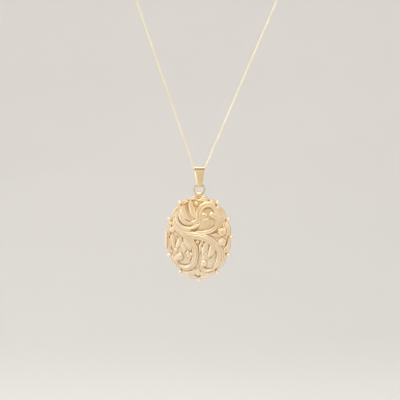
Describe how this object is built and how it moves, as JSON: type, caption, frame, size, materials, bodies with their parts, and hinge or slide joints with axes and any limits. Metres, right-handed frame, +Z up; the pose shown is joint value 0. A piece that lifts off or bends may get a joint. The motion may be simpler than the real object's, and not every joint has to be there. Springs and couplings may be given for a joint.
{
  "type": "locket pendant",
  "caption": "Oval hinged gold locket with a carved scalloped cover and beaded rim, a tapered bail, jump ring and fine chain with a bolt ring.",
  "frame": {"origin": "the chain's centre line where the bail hangs on it, at the lowest point of the chain", "axes": "+Z up along the hanging line, front of the locket towards -Y, +X to the right of someone looking at the front, flat of the back facing +Y"},
  "size_m": [0.0578, 0.0054, 0.1049],
  "materials": {
    "satin_gold": "satin die-struck 9 ct gold",
    "bright_gold": "polished 9 ct gold",
    "chain_gold": "polished pale gold box links",
    "spring_steel": "bright wire",
    "clear_acetate": "clear sheet",
    "card_paper": "matt blank card"
  },
  "bodies": {
    "chain": {"chain": "chain_gold", "clasp_link": "bright_gold", "clasp_case": "bright_gold", "clasp_spring": "spring_steel", "end_ring": "bright_gold"},
    "clasp_bolt": {"clasp_bolt": "bright_gold"},
    "bail": {"bail": "bright_gold"},
    "jump_ring": {"jump_ring": "bright_gold"},
    "case_back": {"back_shell": "satin_gold", "back_bearer": "bright_gold", "back_picture_frame": "bright_gold", "back_window": "clear_acetate", "back_card": "card_paper", "back_knuckle_1": "bright_gold", "back_knuckle_2": "bright_gold", "back_knuckle_3": "bright_gold", "hinge_pin": "bright_gold", "pendant_loop": "bright_gold", "catch_lug": "bright_gold"},
    "cover": {"front_cover": "satin_gold", "cover_bezel": "bright_gold", "cover_picture_frame": "bright_gold", "cover_window": "clear_acetate", "cover_card": "card_paper", "cover_knuckle_1": "bright_gold", "cover_knuckle_2": "bright_gold", "rim_bead_1": "bright_gold", "rim_bead_2": "bright_gold", "rim_bead_3": "bright_gold", "rim_bead_4": "bright_gold", "rim_bead_5": "bright_gold", "rim_bead_6": "bright_gold", "rim_bead_7": "bright_gold", "rim_bead_8": "bright_gold", "rim_bead_9": "bright_gold", "rim_bead_10": "bright_gold"}
  },
  "joints": [
    {"name": "clasp_bolt_slide", "type": "hinge", "parent": "chain", "child": "clasp_bolt", "pos_m": [-0.02422, 0, 0.06467], "axis": [0, 1, 0], "range_deg": [0, 42], "stiffness_Nm_per_rad": 0.001, "springref_deg": -17.19, "deforming": ["clasp_spring"]},
    {"name": "bail_swing", "type": "hinge", "parent": "chain", "child": "bail", "pos_m": [0, 0, -0.0005], "axis": [1, 0, 0], "range_deg": [-60, 60]},
    {"name": "ring_swing", "type": "hinge", "parent": "bail", "child": "jump_ring", "pos_m": [0, 0, -0.0051], "axis": [1, 0, 0], "range_deg": [-45, 45]},
    {"name": "locket_swing", "type": "hinge", "parent": "jump_ring", "child": "case_back", "pos_m": [0, 0, -0.0085], "axis": [1, 0, 0], "range_deg": [-45, 45]},
    {"name": "cover_hinge", "type": "hinge", "parent": "case_back", "child": "cover", "pos_m": [-0.01085, 0, -0.0235], "axis": [0, 0, -1], "range_deg": [0, 170]}
  ]
}
